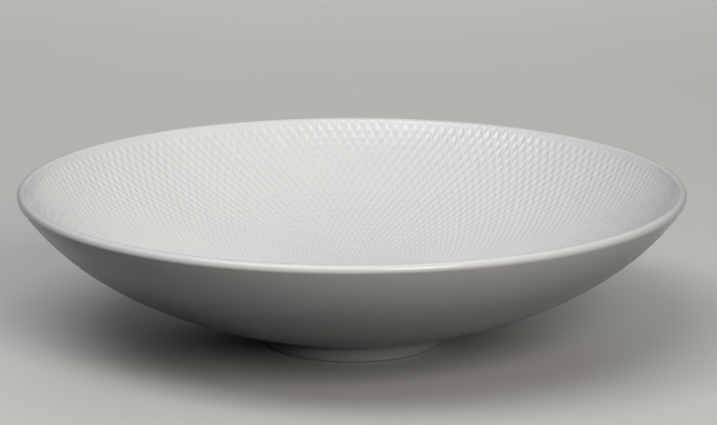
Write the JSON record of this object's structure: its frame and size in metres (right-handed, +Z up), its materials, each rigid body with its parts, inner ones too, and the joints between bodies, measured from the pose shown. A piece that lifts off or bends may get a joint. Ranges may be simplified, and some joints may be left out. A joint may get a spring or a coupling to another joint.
{
  "type": "salad bowl",
  "caption": "Wide shallow round salad bowl of white glazed porcelain with a rounded lip, a diamond relief inside and a low foot ring to stand on.",
  "frame": {"origin": "centre of the foot ring's standing face, on the axis of the bowl", "axes": "+Z up along the axis of the bowl, from the standing face to the open mouth; X and Y are alike"},
  "size_m": [0.28, 0.28, 0.0667],
  "materials": {
    "bowl_glaze": "satin gloss white glaze over a pressed porcelain body",
    "foot_glaze": "satin gloss white glaze, wiped off and ground bare on the standing face"
  },
  "bodies": {
    "root": {"bowl_body": "bowl_glaze", "foot_ring": "foot_glaze"}
  },
  "joints": []
}
